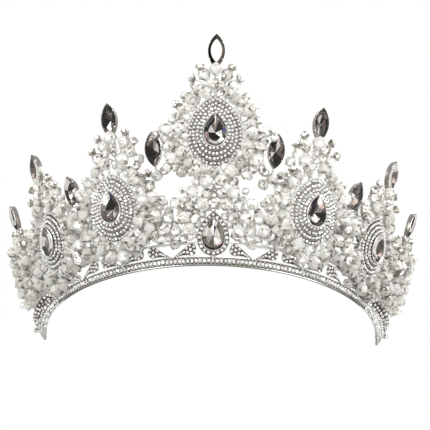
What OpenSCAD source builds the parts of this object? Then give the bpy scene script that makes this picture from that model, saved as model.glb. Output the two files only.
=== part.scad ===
// Bridal tiara: a half-ring band of small round stones carrying five pointed panels.
// Each panel is a stepped pear medallion in a spray of faceted beads, with a navette at its crest.
// Millimetres, +Z up. The band stands on z = 0, the front faces -Y and +X is the wearer's left.

/* [Band] */
// Radius of the band's outer face
band_r = 76; // [60:0.5:90]
// Height of the band
band_h = 4; // [2.5:0.1:8]
// Thickness of the band
band_t = 1; // [0.8:0.1:3]
// Half of the arc that the band covers, in degrees
band_half_arc = 86; // [60:1:100]
// Diameter of the round stones set in the band
band_stone_d = 1.6; // [1:0.05:2.5]
// Number of round stones in the band
band_stone_count = 133; // [60:1:180]

// How much more than the panels the band leans outward at its ends, in degrees
end_lean = 28; // [0:1:40]

/* [Panels] */
// Outward lean of the panels from upright, in degrees
lean = 18; // [0:1:35]
// Angles around the band of the medallions: centre, inner and outer panels
panel_t = [0, 29.3, 55.4]; // [0:0.1:70]
// Angles around the band of the crest stones above them
crest_t = [0, 27.2, 55]; // [0:0.1:70]
// Height up the leaning face of the medallion centres: centre, inner and outer panels
med_w = [56.5, 28.6, 26.3]; // [10:0.1:80]
// Size of the medallions against the centre one
med_scale = [1, 0.97, 0.95]; // [0.6:0.01:1.2]
// Height up the leaning face of the crest stones
crest_w = [91, 66.3, 60.2]; // [40:0.1:110]

/* [Medallions] */
// Width of a medallion
med_width = 23.2; // [16:0.1:30]
// Height of a medallion, from its round bottom to its point
med_height = 30; // [20:0.5:40]
// Rise from one tier of a medallion to the next
tier_rise = 0.8; // [0.4:0.1:2]
// Width of one tier
tier_width = 1.62; // [1.2:0.02:3]
// Diameter of the round stones set in the tiers
pave_d = 1.4; // [0.8:0.05:2]

/* [Stones] */
// Width of a pear stone
pear_w = 9.2; // [6:0.1:14]
// Height of a pear stone
pear_h = 13.6; // [8:0.1:20]
// Width of a navette stone
navette_w = 6.8; // [4:0.1:10]
// Height of a navette stone
navette_h = 14.6; // [8:0.1:20]
// Angles around the band of the navettes between panels and at the ends
side_navette_t = [16, 42.4, 76.5]; // [5:0.1:90]
// Height up the leaning face of those navettes
side_navette_w = [50, 41.5, 54]; // [20:0.5:80]

/* [Beads] */
// Diameter of the faceted beads
bead_d = 5.4; // [3:0.1:8]
// Diameter of the small end beads
end_bead_d = 3; // [2:0.1:5]
// Diameter of the wires
wire_d = 0.7; // [0.4:0.05:1.5]
// Height of the beads' centre line in front of the panel plane
bead_out = 0.2; // [0:0.1:4]
// How far every second bead stands in front of its neighbours
bead_layer = 3; // [0:0.1:5]
// Gap between a medallion's edge and the middle of its bead ring
ring_gap = 3.8; // [3:0.1:8]

/* [Hidden] */
bead_fn = 24;
pear_n = 32;
stone_n = 20;
crown_h = 2;
girdle_h = 0.7;
rim_t = 0.3;
// How far each tier of a medallion pulls in its point
tier_point = [0.3, 0.36, 0.42, 0.5];
pear_point = 0.6;
spine_d = 1.4;
// How far the navettes between panels and at the ends stand in front of the panels
side_navette_out = [0, 0, 0.5];
// The wire behind the panels: its thickness, its arc and its height up the leaning face
rear_wire_d = 1.2;
rear_wire_arc = 168;
rear_wire_w = 10;
head_d = 5;
// Height up the leaning face and width of the single drop at the foot of the centre panel
drop_w = 12.8;
drop_frame_w = 13.4;
drop_frame_h = 18.6;
// Angles of the bead spokes round a medallion, from its point
spokes = [40, 57, 74, 91, 108, 125, 142, 158];
// How far back the band's centre lies, so that the whole piece is centred on the origin
ring_y = 52.49;
// Angles of the scroll leaves along the band
scroll_t = [8, 17, 24.5, 33.5, 41, 50, 57.5, 66, 72.5, 81];
// Angles of the bead columns at each end of the band
end_column_t = [70, 73.6, 77.2, 80.8, 84.4];
// How far those columns stand in front of the panels
end_column_out = [0.8, 1.6, 2.4, 3, 3];
// Outline of the pointed end of the band: along it, and up its face
tip_line = [[0, 0], [5, 0], [8.6, 0.5], [9.6, 1.5], [8.6, 2.9], [6, 4.6], [3, 6.4], [0, 7.2]];
// Cross-section of a band 1 thick and 4 high: depth behind its face, and height up it
band_section = [[1, 0], [0, 0], [0, 0.42], [0.3, 0.5], [0.3, 3.5], [0, 3.58], [0, 4], [1, 4]];
band_steps = 86;

// Outlines ------------------------------------------------------------------

// A pear outline with its point up. Sharper values of m pull the point in.
function pear_peak(m) = max([for (a = [60 : 2 : 150]) sin(a) * pow(sin(a / 2), m)]);
function pear(w, h, m = 1, n = pear_n) =
  let (k = pear_peak(m))
  [for (i = [0 : n - 1]) let (a = 360 * i / n)
    [-w / 2 * sin(a) * pow(abs(sin(a / 2)), m) / k, h / 2 * cos(a)]];

// A navette outline: two arcs that meet in points above and below.
function navette(w, h, n = stone_n) =
  let (r = (w * w + h * h) / (4 * w), d = r - w / 2)
  concat([for (i = [0 : n / 2 - 1]) let (y = -h / 2 + 2 * h * i / n)
            [sqrt(r * r - y * y) - d, y]],
         [for (i = [0 : n / 2 - 1]) let (y = h / 2 - 2 * h * i / n)
            [-(sqrt(r * r - y * y) - d), y]]);

// The point at distance s along a closed outline, and the outline's length over its first n edges
function edge_len(p, i) = norm(p[(i + 1) % len(p)] - p[i]);
function edge_sum(p, n) = n == 0 ? 0 : edge_sum(p, n - 1) + edge_len(p, n - 1);
function along(p, s, i = 0) =
  let (d = edge_len(p, i))
  s <= d || i >= len(p) - 1
    ? p[i] + (p[(i + 1) % len(p)] - p[i]) * min(s, d) / d
    : along(p, s - d, i + 1);

// Places ---------------------------------------------------------------------

// A leaning plate that touches the band at angle t: x across, y up the face, z outward
module ring(t = 0) translate([0, ring_y, 0]) rotate([0, 0, t]) children();
module face(t) ring(t) translate([0, -band_r, 0]) rotate([90 + lean, 0, 0]) children();

// A point on the leaning surface at angle t and height w, with the same axes
module at(t, w, out = 0) face(t) translate([0, w, out]) children();

// The band's own lean: the panels' in front, and more towards its ends
function lean_step(t) = min(max((abs(t) - 50) / 36, 0), 1);
function lean_at(t) = lean + end_lean * pow(lean_step(t), 2) * (3 - 2 * lean_step(t));
module low(t, w, out = 0) ring(t) translate([0, -band_r, 0]) rotate([90 + lean_at(t), 0, 0])
  translate([0, w, out]) children();

// Pieces ---------------------------------------------------------------------

module bead(d) rotate_extrude($fn = bead_fn)
  polygon([[0, -d * 0.42], [d * 0.28, -d * 0.42], [d * 0.5, -d * 0.13], [d * 0.5, d * 0.13],
           [d * 0.28, d * 0.42], [0, d * 0.42]]);

module wire(a, b, d = wire_d) {
  v = b - a;
  translate(a) rotate([0, acos(v.z / norm(v)), atan2(v.y, v.x)])
    cylinder(h = norm(v), d = d, $fn = 16);
}

module round_stone(d) cylinder(h = d * 0.55, d1 = d, d2 = d * 0.6, $fn = 16);

module cut_stone(outline) {
  linear_extrude(girdle_h) polygon(outline);
  translate([0, 0, girdle_h]) linear_extrude(crown_h, scale = 0.55) polygon(outline);
}

// A ring of round stones along a pear line
module pave_ring(w, h, m) {
  p = pear(w, h, m);
  total = edge_sum(p, len(p));
  n = floor(total / (pave_d + 0.25));
  for (i = [0 : n - 1]) let (q = along(p, total * i / n))
    translate([q.x, q.y, 0]) round_stone(pave_d);
}

// The stepped casting: four tiers with raised rims, and the cup of the pear stone on top
module medallion() {
  difference() {
    union() {
      for (i = [0 : 3]) let (w = med_width - 2 * tier_width * i, h = med_height - 2.5 * tier_width * i) {
        linear_extrude(tier_rise * (i + 1)) polygon(pear(w, h, tier_point[i]));
        linear_extrude(tier_rise * (i + 1) + 0.3) difference() {
          polygon(pear(w, h, tier_point[i]));
          polygon(pear(w - 2 * rim_t, h - 2.6 * rim_t, tier_point[i]));
        }
      }
      linear_extrude(tier_rise * 4 + 1.3) polygon(pear(pear_w + 0.9, pear_h + 1.3, pear_point));
    }
    translate([0, 0, tier_rise * 4]) linear_extrude(5)
      polygon(pear(pear_w + 0.1, pear_h + 0.1, pear_point));
  }
}

module medallion_pave()
  for (i = [0 : 3]) let (k = tier_width * (2 * i + 1.1), w = med_width - k, h = med_height - 1.25 * k)
    translate([0, 0, tier_rise * (i + 1)]) pave_ring(w, h, tier_point[i]);

module medallion_stone()
  translate([0, 0, tier_rise * 4]) cut_stone(pear(pear_w, pear_h, pear_point, 24));

// A navette in its cup, standing on a short stalk
module navette_cup() {
  difference() {
    linear_extrude(2.4) polygon(navette(navette_w + 0.6, navette_h + 1.1));
    translate([0, 0, 0.8]) linear_extrude(3) polygon(navette(navette_w + 0.1, navette_h + 0.1));
  }
  for (s = [-1, 1], q = [-1, 1])
    translate([s * navette_w * 0.36, q * navette_h * 0.27, 0]) cylinder(h = 3, d = 0.8, $fn = 16);
  wire([0, -navette_h * 0.45, 0.5], [0, -navette_h * 0.5 - 5, 0.2], 1.2);
}

module navette_stone() translate([0, 0, 0.8]) cut_stone(navette(navette_w, navette_h));

// Distance from a medallion's centre to its edge, at an angle from its point
function edge(a, s) = s / sqrt(pow(sin(a) / med_width * 2, 2) + pow(cos(a) / med_height * 2, 2));

// A bead in a panel's plane, with its hole along the direction a from the panel's upright.
// Layer 0 lies against the panel and layer 1 stands in front of it.
module set_bead(x, y, a, d = bead_d, layer = 0)
  translate([x, y, bead_out + layer * bead_layer]) rotate([0, 0, -a]) rotate([90, 0, 0]) bead(d);

// The bead spray round one medallion, with its centre as the origin.
// One second bead is left out on side clear, where the panel has an opening.
module spray(s, clear = 0) for (side = [-1, 1]) {
  for (i = [0 : len(spokes) - 1]) let (a = spokes[i], r = edge(a, s) + ring_gap + 0.6 * (i % 2)) {
    set_bead(side * r * sin(a), r * cos(a), side * a, bead_d, i % 2);
    // the upper spokes end in a small stone and the lower ones in a second bead
    if (a < 80) set_bead(side * (r + 4.3) * sin(a), (r + 4.3) * cos(a), side * a, end_bead_d, i % 2);
    else if (a < 150 && !(a == 91 && side == clear))
      set_bead(side * (r + 5) * sin(a), (r + 5) * cos(a), side * a, bead_d - 0.6, i % 2);
  }
  // the foot flower
  set_bead(side * 3, -21.6, side * 165, 5, 1);
}

// The crest flower, with the crest stone's centre as the origin: beads under it, small stones outside
module crest_flower() {
  for (side = [-1, 1]) {
    set_bead(side * 4.8, -10, side * 30);
    set_bead(side * 7.8, -14.6, side * 55);
    set_bead(side * 4.9, -18.3, side * 40, bead_d, 1);
    set_bead(side * 7.1, -6.5, side * 30, end_bead_d, 0.6);
    set_bead(side * 10.5, -11.4, side * 60, end_bead_d, 0.6);
  }
  set_bead(0, -8.6, 0, bead_d, 0.9);
  set_bead(0, -13.4, 0, end_bead_d, 0.6);
}

module spray_wires(s, foot) {
  // the spine behind the medallion, from the band up
  wire([0, -foot + 2.5, -0.65], [0, 11, -0.65], spine_d);
  for (side = [-1, 1]) {
    for (a = spokes) rotate([0, 0, -side * a])
      wire([0, 8 * s, 0.3], [0, edge(a, s) + ring_gap + 5, bead_out + 1]);
    wire([0, -13, -0.6], [side * 4.6, -22.6, bead_out + 1]);
  }
}

module crest_wires(up) {
  // the spine behind the crest flower, down to the medallion's point
  wire([0, -up + 12.6, -0.65], [0, -6, -0.65], spine_d);
  for (side = [-1, 1]) {
    wire([side * 0.3, -16, -0.4], [side * 7, -6.7, bead_out + 1]);
    wire([side * 0.3, -17.6, -0.4], [side * 10.4, -11.4, bead_out + 1]);
    wire([side * 0.3, -19.4, -0.4], [side * 4.9, -18.3, bead_out + bead_layer - 0.4]);
  }
}

// A comma-shaped leaf along the band: a round head, and a thin tail down to the band on side s
function tail_point(u) = [-1.7 + 6.8 * u, -2.9 * pow(u, 1.3)];
function tail_half(u) = 2.1 * pow(1 - u, 1.5) + 0.42;
module scroll(s) scale([s, 1, 1]) linear_extrude(0.9) {
  translate([-1.7, 0]) circle(d = head_d, $fn = 48);
  polygon(concat([for (u = [0 : 0.1 : 1.01]) tail_point(u) + [0, tail_half(u)]],
                 [for (u = [1 : -0.1 : -0.01]) tail_point(u) - [0, tail_half(u)]]));
}

module scroll_stones(s) {
  translate([-s * 1.7, 0, 0.9]) round_stone(pave_d);
  for (a = [20 : 60 : 320])
    translate([-s * 1.7 + 1.72 * cos(a), 1.72 * sin(a), 0.9]) round_stone(pave_d);
  for (p = [[1.2, -1, 1.3], [2.5, -1.55, 1.1], [3.6, -2.05, 1], [4.6, -2.6, 0.9]])
    translate([s * p[0], p[1], 0.9]) round_stone(p[2]);
}

function scroll_side(i, side) = (i % 2 == 0 ? 1 : -1) * side;
module fret(side) for (i = [0 : len(scroll_t) - 1])
  low(side * scroll_t[i], 6.7, -0.5) scroll(scroll_side(i, side));

module fret_stones(side) for (i = [0 : len(scroll_t) - 1])
  low(side * scroll_t[i], 6.7, -0.5) scroll_stones(scroll_side(i, side));

// Nodes ------------------------------------------------------------------------

// Point p of the band's cross-section at angle t. The section leans outward there.
function band_point(p, t) =
  let (r = band_r - p.x * band_t + p.y * band_h / 4 * sin(lean_at(t)))
  [r * sin(t), ring_y - r * cos(t), p.y * band_h / 4 * cos(lean_at(t))];

module band() color("Silver") let (n = len(band_section)) polyhedron(
  points = [for (i = [0 : band_steps], p = band_section)
    band_point(p, (2 * i / band_steps - 1) * band_half_arc)],
  faces = concat(
    [[for (j = [n - 1 : -1 : 0]) j]],
    [[for (j = [0 : n - 1]) band_steps * n + j]],
    [for (i = [0 : band_steps - 1], j = [0 : n - 1]) let (k = (j + 1) % n)
      [i * n + j, (i + 1) * n + k, (i + 1) * n + j]],
    [for (i = [0 : band_steps - 1], j = [0 : n - 1]) let (k = (j + 1) % n)
      [i * n + j, i * n + k, (i + 1) * n + k]]));

module band_stones() color("White") for (i = [0 : band_stone_count - 1])
  low((2 * i / (band_stone_count - 1) - 1) * (band_half_arc - 1), band_h * 0.5, -0.36)
    round_stone(band_stone_d);

// The pointed end of the band, with a small round cup beside it
module end_tip(side) color("Silver") low(side * band_half_arc, 0, -0.8) {
  linear_extrude(0.8) polygon([for (p = tip_line) [side * p.x, p.y]]);
  translate([side * 4.2, 6.4, 0]) cylinder(h = 1.6, d = 2.6, $fn = 24);
}

module rear_wire() color("Silver") ring(-90 - rear_wire_arc / 2)
  rotate_extrude(angle = rear_wire_arc, $fn = 120)
    translate([band_r + rear_wire_w * sin(lean) - 1.6, rear_wire_w * cos(lean)])
      circle(d = rear_wire_d, $fn = 16);

module drop_frame() color("Silver") at(0, drop_w, 0) difference() {
  union() {
    linear_extrude(2) polygon(pear(drop_frame_w, drop_frame_h, 0.5));
    linear_extrude(2.5) difference() {
      polygon(pear(drop_frame_w, drop_frame_h, 0.5));
      polygon(pear(drop_frame_w - 2 * rim_t, drop_frame_h - 2.7 * rim_t, 0.5));
    }
  }
  translate([0, 0, 1]) linear_extrude(3) polygon(pear(pear_w + 0.1, pear_h + 0.1, pear_point));
}

module drop_pave() color("White") at(0, drop_w, 2)
  pave_ring(drop_frame_w - 2.2, drop_frame_h - 2.9, 0.5);

module drop_stone() color("DimGray") at(0, drop_w, 1) cut_stone(pear(pear_w, pear_h, pear_point, 24));

// One panel's pieces. k is 0 for the centre panel, 1 for an inner and 2 for an outer one.
module on_panel(k, side) at(side * panel_t[k], med_w[k]) children();
module on_crest(k, side) at(side * crest_t[k], crest_w[k]) children();
module panel_medallion(k, side) color("Silver") on_panel(k, side) scale(med_scale[k]) medallion();
module panel_pave(k, side) color("White") on_panel(k, side) scale(med_scale[k]) medallion_pave();
module panel_stone(k, side) color("DimGray") on_panel(k, side) scale(med_scale[k]) medallion_stone();
module panel_wires(k, side) color("Silver") {
  on_panel(k, side) spray_wires(med_scale[k], med_w[k]);
  on_crest(k, side) crest_wires(crest_w[k] - med_w[k]);
}
module panel_beads(k, side) color("AliceBlue") {
  on_panel(k, side) spray(med_scale[k], k == 1 ? -side : 0);
  on_crest(k, side) crest_flower();
  if (k == 0) center_foot_beads();
  if (k > 0) foot_beads(side * panel_t[k]);
  if (k > 0) valley_bead(k - 1, side);
  if (k == 2) end_beads(side);
}
module panel_cup(k, side) color("Silver") on_crest(k, side) translate([0, 0, 0.4]) navette_cup();
module panel_crest(k, side) color("DimGray") on_crest(k, side) translate([0, 0, 0.4]) navette_stone();

// Beads between the centre medallion, the drop and the neighbouring panels, in rows
module center_foot_beads() face(0) {
  for (side = [-1, 1]) {
    for (i = [0 : 1]) set_bead(side * (3.2 + 5.7 * i), 30, side * 20, bead_d - 0.4, i);
    for (i = [0 : 2]) set_bead(side * (4.7 + 5.4 * i), 24.8, side * 30, bead_d - 0.4, (i + 1) % 2);
    for (i = [0 : 2]) set_bead(side * (7.8 + 5.4 * i), 19.4, side * 60, bead_d - 0.4, i % 2);
    for (i = [0 : 2]) set_bead(side * (10.4 + 5.4 * i), 13.8, side * 80, bead_d - 0.4, (i + 1) % 2);
    set_bead(side * 13, 30.6, side * 40, end_bead_d, 1);
  }
  for (y = [23.6, 26.8, 33.6]) set_bead(0, y, 0, end_bead_d - 0.6, 1);
}

// Beads between the foot of a side panel and its scroll leaves
module foot_beads(t) face(t) for (side = [-1, 1]) {
  set_bead(side * 8.8, 10, side * 30, bead_d - 0.4, 0);
  set_bead(side * 19.6, 10.6, side * 40, bead_d - 0.4, 0);
}

// Columns of beads that close each end of the tiara
module end_beads(side) for (i = [0 : len(end_column_t) - 1], w = [10 : 5.7 : 40])
  at(side * end_column_t[i], 0, end_column_out[i])
    set_bead(0, w + (i % 2) * 2.8, 90, bead_d - 0.2, i % 2);

// The bead that each navette between panels stands on
module valley_bead(i, side) face(side * side_navette_t[i])
  set_bead(0, side_navette_w[i] - 11.4, 0, bead_d - 0.8, 0);

// The place of side navette i. Each one leans a little more outward than the last.
module on_side(i, side) at(side * side_navette_t[i], side_navette_w[i], side_navette_out[i])
  rotate([0, 0, -side * (i * 6 + 2)]) children();
module side_cup(i, side) color("Silver") on_side(i, side) navette_cup();
module side_stone(i, side) color("DimGray") on_side(i, side) navette_stone();

band();
band_stones();
end_tip(-1);  // end_tip_left
end_tip(1);  // end_tip_right
color("Silver") fret(-1);  // fret_left
color("Silver") fret(1);  // fret_right
color("White") fret_stones(-1);  // fret_stones_left
color("White") fret_stones(1);  // fret_stones_right
rear_wire();
drop_frame();
drop_pave();
drop_stone();
panel_medallion(0, 1);  // medallion_center
panel_medallion(1, -1);  // medallion_inner_left
panel_medallion(1, 1);  // medallion_inner_right
panel_medallion(2, -1);  // medallion_outer_left
panel_medallion(2, 1);  // medallion_outer_right
panel_pave(0, 1);  // pave_center
panel_pave(1, -1);  // pave_inner_left
panel_pave(1, 1);  // pave_inner_right
panel_pave(2, -1);  // pave_outer_left
panel_pave(2, 1);  // pave_outer_right
panel_stone(0, 1);  // stone_center
panel_stone(1, -1);  // stone_inner_left
panel_stone(1, 1);  // stone_inner_right
panel_stone(2, -1);  // stone_outer_left
panel_stone(2, 1);  // stone_outer_right
panel_wires(0, 1);  // wires_center
panel_wires(1, -1);  // wires_inner_left
panel_wires(1, 1);  // wires_inner_right
panel_wires(2, -1);  // wires_outer_left
panel_wires(2, 1);  // wires_outer_right
panel_beads(0, 1);  // beads_center
panel_beads(1, -1);  // beads_inner_left
panel_beads(1, 1);  // beads_inner_right
panel_beads(2, -1);  // beads_outer_left
panel_beads(2, 1);  // beads_outer_right
panel_cup(0, 1);  // crest_cup_center
panel_cup(1, -1);  // crest_cup_inner_left
panel_cup(1, 1);  // crest_cup_inner_right
panel_cup(2, -1);  // crest_cup_outer_left
panel_cup(2, 1);  // crest_cup_outer_right
panel_crest(0, 1);  // crest_center
panel_crest(1, -1);  // crest_inner_left
panel_crest(1, 1);  // crest_inner_right
panel_crest(2, -1);  // crest_outer_left
panel_crest(2, 1);  // crest_outer_right
side_cup(0, -1);  // valley_cup_left
side_cup(0, 1);  // valley_cup_right
side_stone(0, -1);  // valley_left
side_stone(0, 1);  // valley_right
side_cup(1, -1);  // side_cup_left
side_cup(1, 1);  // side_cup_right
side_stone(1, -1);  // side_left
side_stone(1, 1);  // side_right
side_cup(2, -1);  // end_cup_left
side_cup(2, 1);  // end_cup_right
side_stone(2, -1);  // end_left
side_stone(2, 1);  // end_right
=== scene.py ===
"""Bridal tiara: gems, pavé, wires, metal, studio and camera on the shared frame."""
import random
from math import atan2, cos, degrees, hypot, pi, radians, sin, sqrt

import bpy
from mathutils import Matrix, Vector


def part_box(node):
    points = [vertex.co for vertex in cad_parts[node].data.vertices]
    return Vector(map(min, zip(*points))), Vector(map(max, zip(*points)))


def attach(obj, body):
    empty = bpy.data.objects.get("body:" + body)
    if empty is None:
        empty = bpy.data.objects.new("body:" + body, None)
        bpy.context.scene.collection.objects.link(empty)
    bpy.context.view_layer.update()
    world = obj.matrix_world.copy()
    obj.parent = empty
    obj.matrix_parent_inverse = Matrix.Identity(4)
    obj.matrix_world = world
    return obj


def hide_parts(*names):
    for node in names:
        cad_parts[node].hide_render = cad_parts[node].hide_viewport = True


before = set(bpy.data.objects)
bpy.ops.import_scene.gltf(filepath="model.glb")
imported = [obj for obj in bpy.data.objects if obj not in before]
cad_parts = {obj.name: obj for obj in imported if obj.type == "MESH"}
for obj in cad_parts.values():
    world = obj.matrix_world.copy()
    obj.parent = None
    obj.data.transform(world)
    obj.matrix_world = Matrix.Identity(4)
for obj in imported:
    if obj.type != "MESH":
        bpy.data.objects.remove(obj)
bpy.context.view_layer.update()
# Two seeded draws: rng sets the small parts and their tones, and shade picks the darker beads.
rng = random.Random(7)
shade = random.Random(3)

# Driving sizes: metres where MM is written, otherwise degrees, counts or factors. Names that end
# in _T are angles round the band, and names that end in _W are heights up the face of the panels.
MM = 0.001

# The band
BAND_R = 76 * MM
BAND_H = 4 * MM
BAND_DEPTH = 0.8 * MM
BAND_ARC = 86
BAND_STONES = 133
LEAN = 18
END_LEAN = 28

# The panels: the centre one, the inner pair and the outer pair
PANEL_T = (0, 29.3, 55.4)
CREST_T = (0, 27.2, 55)
MED_W = (56.5 * MM, 28.6 * MM, 26.3 * MM)
MED_SCALE = (1.0, 0.97, 0.95)
CREST_W = (91 * MM, 66.3 * MM, 60.2 * MM)
PANELS = {"center": (0, 1), "inner_left": (1, -1), "inner_right": (1, 1),
          "outer_left": (2, -1), "outer_right": (2, 1)}

# The medallions, their stones and the navettes
MED_SIZE = (23.2 * MM, 30 * MM)
TIERS = 4
TIER_RISE = 0.8 * MM
TIER_STEP = 1.62 * MM
TIER_POINT = (0.3, 0.36, 0.42, 0.5)
TIER_RIM = 0.2 * MM
GRAIN = 0.55 * MM
GRAIN_PITCH = 1.5 * MM
PEAR = (9.2 * MM, 13.6 * MM)
PEAR_POINT = 0.6
NAVETTE = (6.8 * MM, 14.6 * MM)
SIDE_T = (16, 42.4, 76.5)
SIDE_W = (50 * MM, 41.5 * MM, 54 * MM)

# The beads and the cups at their ends
BEAD = 5.9 * MM
END_BEAD = 3 * MM
CAP = 3.96 * MM
LONG = 1.35
BEAD_OUT = 0.2 * MM
BEAD_LAYER = 2.6 * MM
RING_GAP = 3.5 * MM
SPOKES = (40, 57, 74, 91, 108, 125, 142, 158)
END_COLUMN_T = (70, 73.6, 77.2, 80.8, 84.4)
END_COLUMN_OUT = (0.8 * MM, 1.6 * MM, 2.4 * MM, 3 * MM, 3 * MM)

# The low stone in the middle and the leaves on the band
DROP_W = 12.8 * MM
DROP_FRAME = (13.4 * MM, 18.6 * MM)
DROP_POINT = 0.5
LEAF_HEAD = -1.7 * MM
LEAF_L = 6.8 * MM
LEAF_W = 6.7 * MM
LEAF_T = (8, 17, 24.5, 33.5, 41, 50, 57.5)

# Points on the big outlines, on the lines that rows of stones follow, and round each gem
OUTLINE_N = 64
ROW_N = 96
GEM_N = 24

# The band's axis, from the front of its box
RING_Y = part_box("band")[0][1] + BAND_R + BAND_H * sin(radians(LEAN))


# Places -----------------------------------------------------------------------
def turn(axis, deg):
    return Matrix.Rotation(radians(deg), 4, axis)


def shift(x, y, z=0.0):
    return Matrix.Translation((x, y, z))


def rock(limit):
    """A random tilt of up to limit degrees each way."""
    return turn("X", rng.uniform(-limit, limit)) @ turn("Y", rng.uniform(-limit, limit))


def ring(t):
    """The band's axis turned to angle t."""
    return shift(0, RING_Y) @ turn("Z", t)


def face(t, up=0.0, out=0.0, across=0.0):
    """A leaning plate at angle t: x across, y up the face, z outward."""
    return ring(t) @ shift(0, -BAND_R) @ turn("X", 90 + LEAN) @ shift(across, up, out)


def lean_at(t):
    """The band's own lean: the same as the panels' in front, and more towards its ends."""
    s = min(max((abs(t) - 50) / 36, 0), 1)
    return LEAN + END_LEAN * s * s * (3 - 2 * s)


def low(t, up=0.0, out=0.0):
    """A plate like face, with the band's own lean."""
    return ring(t) @ shift(0, -BAND_R) @ turn("X", 90 + lean_at(t)) @ shift(0, up, out)


# Materials --------------------------------------------------------------------
def material(name, color, **values):
    """A material with the values of its shader's sockets, such as Roughness=0.2."""
    mat = bpy.data.materials.new(name)
    mat.use_nodes = True
    shader = mat.node_tree.nodes["Principled BSDF"]
    shader.inputs["Base Color"].default_value = (*color, 1)
    for key, value in values.items():
        shader.inputs[key.replace("_", " ")].default_value = value
    return mat, mat.node_tree, shader


def noise_bump(tree, shader, scale, strength):
    """Make the surface finely uneven, and return the noise."""
    noise = tree.nodes.new("ShaderNodeTexNoise")
    noise.inputs["Scale"].default_value = scale
    noise.inputs["Detail"].default_value = 4
    bump = tree.nodes.new("ShaderNodeBump")
    bump.inputs["Strength"].default_value = strength
    bump.inputs["Distance"].default_value = 0.1 * MM
    coord = tree.nodes.new("ShaderNodeTexCoord")
    tree.links.new(coord.outputs["Object"], noise.inputs["Vector"])
    tree.links.new(noise.outputs["Fac"], bump.inputs["Height"])
    tree.links.new(bump.outputs["Normal"], shader.inputs["Normal"])
    return noise


def silver(name, color, low, high, bump):
    """A polished metal whose gloss wanders between two roughness values."""
    mat, tree, shader = material(name, color, Metallic=1.0)
    noise = noise_bump(tree, shader, 900, bump)
    gloss = tree.nodes.new("ShaderNodeMapRange")
    gloss.inputs["To Min"].default_value = low
    gloss.inputs["To Max"].default_value = high
    tree.links.new(noise.outputs["Fac"], gloss.inputs["Value"])
    tree.links.new(gloss.outputs["Result"], shader.inputs["Roughness"])
    return mat


def glint_tones(tree, tone, share):
    """Mix small cells with dark seams into a facet's tone: painted glints and reflections inside the cut.
    """
    coord = tree.nodes.new("ShaderNodeTexCoord")
    cells = tree.nodes.new("ShaderNodeTexVoronoi")
    seams = tree.nodes.new("ShaderNodeTexVoronoi")
    seams.feature = "DISTANCE_TO_EDGE"
    for node in (cells, seams):
        node.inputs["Scale"].default_value = 1000
        tree.links.new(coord.outputs["Object"], node.inputs["Vector"])
    split = tree.nodes.new("ShaderNodeSeparateColor")
    tree.links.new(cells.outputs["Color"], split.inputs["Color"])
    mix = tree.nodes.new("ShaderNodeMix")
    mix.inputs["Factor"].default_value = share
    tree.links.new(tone, mix.inputs["A"])
    tree.links.new(split.outputs["Red"], mix.inputs["B"])
    fade = tree.nodes.new("ShaderNodeMapRange")
    fade.inputs["From Max"].default_value = 0.26
    fade.inputs["To Min"].default_value = 0.6
    tree.links.new(seams.outputs["Distance"], fade.inputs["Value"])
    join = tree.nodes.new("ShaderNodeMath")
    join.operation = "MULTIPLY"
    tree.links.new(mix.outputs["Result"], join.inputs[0])
    tree.links.new(fade.outputs["Result"], join.inputs[1])
    return join.outputs["Value"]


def faceted(name, stops, glints=0.0, **values):
    """A cut material: each facet takes its own tone from the mesh's "facet" numbers; in the crystal,
    rhinestone and foil these tones are painted reflections.
    """
    mat, tree, shader = material(name, (1, 1, 1), **values)
    facet = tree.nodes.new("ShaderNodeAttribute")
    facet.attribute_name = "facet"
    tone = facet.outputs["Fac"]
    if glints:
        tone = glint_tones(tree, tone, glints)
    ramp = tree.nodes.new("ShaderNodeValToRGB")
    while len(ramp.color_ramp.elements) < len(stops):
        ramp.color_ramp.elements.new(0.5)
    for element, (at, color) in zip(ramp.color_ramp.elements, stops):
        element.position, element.color = at, (*color, 1)
    tree.links.new(tone, ramp.inputs["Fac"])
    tree.links.new(ramp.outputs["Color"], shader.inputs["Base Color"])
    noise_bump(tree, shader, 1400, 0.06)
    return mat


SILVER = silver("rhodium_polished", (0.86, 0.855, 0.84), 0.10, 0.26, 0.3)
# painted highlight: a lighter copy of the polished rhodium, for the band's rails and grains and the drop's
# rim
RAIL = silver("rhodium_bright", (0.98, 0.975, 0.96), 0.16, 0.32, 0.2)
# painted shade: a near-black copy of the rhodium for the beds between stones and other recesses
PAINTED_SHADE_BED = silver("pave_bed_painted_shade", (0.10, 0.088, 0.075), 0.3, 0.5, 0.6)
# painted shade: a darker copy of the rhodium for the navette cups and the band's lower edge
PAINTED_SHADE_METAL = silver("claw_shadowed", (0.30, 0.285, 0.26), 0.15, 0.35, 0.4)
CLAW = silver("claw_cast", (0.44, 0.42, 0.38), 0.15, 0.35, 0.4)
# the beads' facets take painted reflections, from near black to white, with painted glints and dark seams
CRYSTAL = faceted("crystal_cut",
                  [(0, (0.10, 0.095, 0.08)), (0.12, (0.22, 0.21, 0.185)), (0.22, (0.60, 0.585, 0.54)),
                   (0.32, (0.90, 0.89, 0.85)), (0.42, (1, 1, 0.975))],
                  glints=0.5, Roughness=0.06, IOR=1.5, Transmission_Weight=0.4)
# the small stones' facets and tables take painted reflections
RHINE = faceted("rhinestone_foil",
                [(0, (0.10, 0.09, 0.08)), (0.2, (0.42, 0.40, 0.37)), (0.4, (0.90, 0.89, 0.87)),
                 (0.6, (1, 1, 1))],
                Metallic=0.6, Roughness=0.16)
SMOKY = faceted("smoky_glass", [(0, (0.90, 0.88, 0.87)), (1, (0.99, 0.985, 0.98))],
                Roughness=0.0, IOR=1.3, Transmission_Weight=1.0)
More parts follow.
